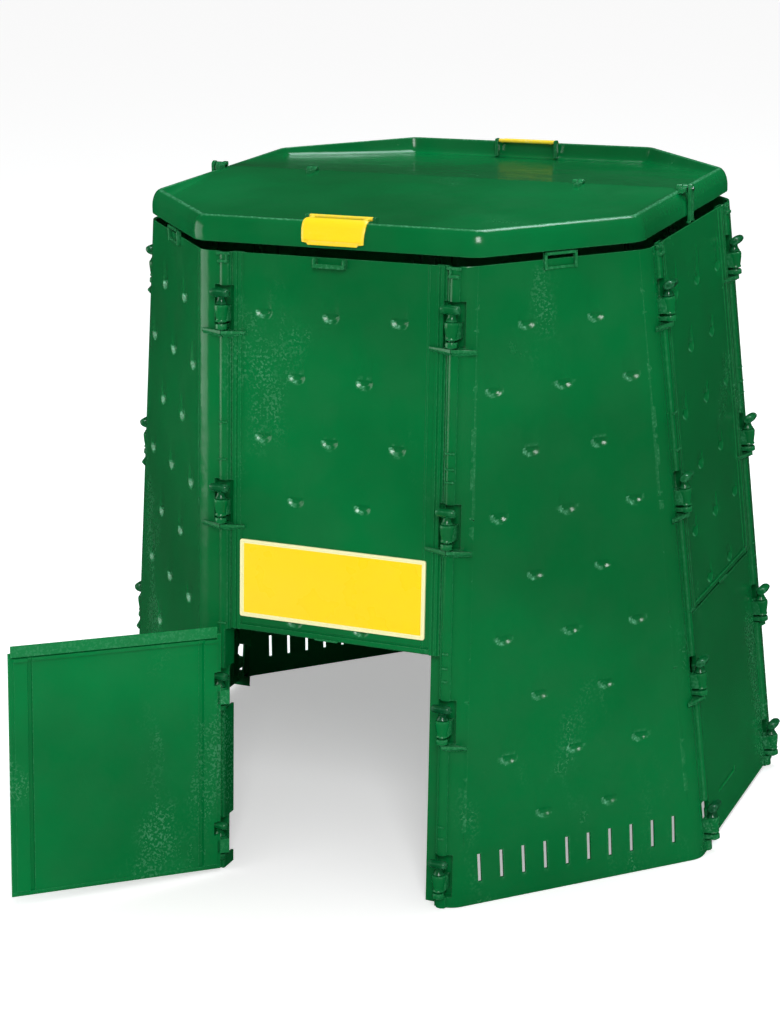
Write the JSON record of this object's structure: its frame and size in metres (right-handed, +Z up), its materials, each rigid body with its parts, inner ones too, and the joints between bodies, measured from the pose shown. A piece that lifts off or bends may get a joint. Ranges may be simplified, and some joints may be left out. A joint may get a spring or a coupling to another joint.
{
  "type": "compost bin",
  "caption": "Eight-sided tapered garden composter in green plastic with hinged lid halves, four hinged doors, T-headed seam pins and a front door standing open.",
  "frame": {"origin": "middle of the eight-sided base, on the ground", "axes": "+Z up, -Y towards the front wall with the open door, X along that wall and along the lid's hinge line"},
  "size_m": [1.1046, 1.3628, 1.062],
  "materials": {
    "green_plastic": "moulded green plastic, semi-gloss",
    "green_pin": "moulded dark green plastic, semi-gloss",
    "yellow_plastic": "moulded yellow plastic, gloss",
    "label_yellow": "plain yellow plate with a pale border, gloss",
    "steel_pin": "bright steel rod"
  },
  "bodies": {
    "bin": {"front_wall_panel": "green_plastic", "front_right_corner_panel": "green_plastic", "front_seam_pins": "green_pin", "front_door_hinge_pins": "green_pin", "front_door_latch_pins": "green_pin", "right_wall_panel": "green_plastic", "right_back_corner_panel": "green_plastic", "right_seam_pins": "green_pin", "right_door_hinge_pins": "green_pin", "right_door_latch_pins": "green_pin", "back_wall_panel": "green_plastic", "back_left_corner_panel": "green_plastic", "back_seam_pins": "green_pin", "back_door_hinge_pins": "green_pin", "back_door_latch_pins": "green_pin", "left_wall_panel": "green_plastic", "left_front_corner_panel": "green_plastic", "left_seam_pins": "green_pin", "left_door_hinge_pins": "green_pin", "left_door_latch_pins": "green_pin", "label_plate": "label_yellow", "lid_end_axles": "steel_pin", "lid_hinge_ear_left": "green_plastic", "lid_hinge_ear_right": "green_plastic"},
    "front_door": {"front_door": "green_plastic"},
    "right_door": {"right_door": "green_plastic"},
    "back_door": {"back_door": "green_plastic"},
    "left_door": {"left_door": "green_plastic"},
    "lid_front": {"lid_front_half": "green_plastic", "lid_front_grip_pin": "steel_pin"},
    "lid_back": {"lid_back_half": "green_plastic", "lid_back_grip_pin": "steel_pin", "lid_ridge_pins": "steel_pin"},
    "front_grip": {"lid_front_grip": "yellow_plastic"},
    "back_grip": {"lid_back_grip": "yellow_plastic"}
  },
  "joints": [
    {"name": "front_door_hinge", "type": "hinge", "parent": "bin", "child": "front_door", "pos_m": [-0.182, -0.52385, 0.20009], "axis": [0, -0.1005, -0.9949], "range_deg": [-132, 38]},
    {"name": "right_door_hinge", "type": "hinge", "parent": "bin", "child": "right_door", "pos_m": [0.52385, -0.182, 0.20009], "axis": [0.1005, 0, -0.9949], "range_deg": [0, 170]},
    {"name": "back_door_hinge", "type": "hinge", "parent": "bin", "child": "back_door", "pos_m": [0.182, 0.52385, 0.20009], "axis": [0, 0.1005, -0.9949], "range_deg": [0, 170]},
    {"name": "left_door_hinge", "type": "hinge", "parent": "bin", "child": "left_door", "pos_m": [-0.52385, 0.182, 0.20009], "axis": [-0.1005, 0, -0.9949], "range_deg": [0, 170]},
    {"name": "lid_front_hinge", "type": "hinge", "parent": "bin", "child": "lid_front", "pos_m": [0, 0, 1.054], "axis": [-1, 0, 0], "range_deg": [0, 82]},
    {"name": "lid_back_hinge", "type": "hinge", "parent": "bin", "child": "lid_back", "pos_m": [0, 0, 1.054], "axis": [1, 0, 0], "range_deg": [0, 82]},
    {"name": "front_grip_hinge", "type": "hinge", "parent": "lid_front", "child": "front_grip", "pos_m": [0, -0.3924, 1.0544], "axis": [-1, 0, 0], "range_deg": [0, 90]},
    {"name": "back_grip_hinge", "type": "hinge", "parent": "lid_back", "child": "back_grip", "pos_m": [0, 0.3924, 1.0544], "axis": [1, 0, 0], "range_deg": [0, 90]}
  ]
}
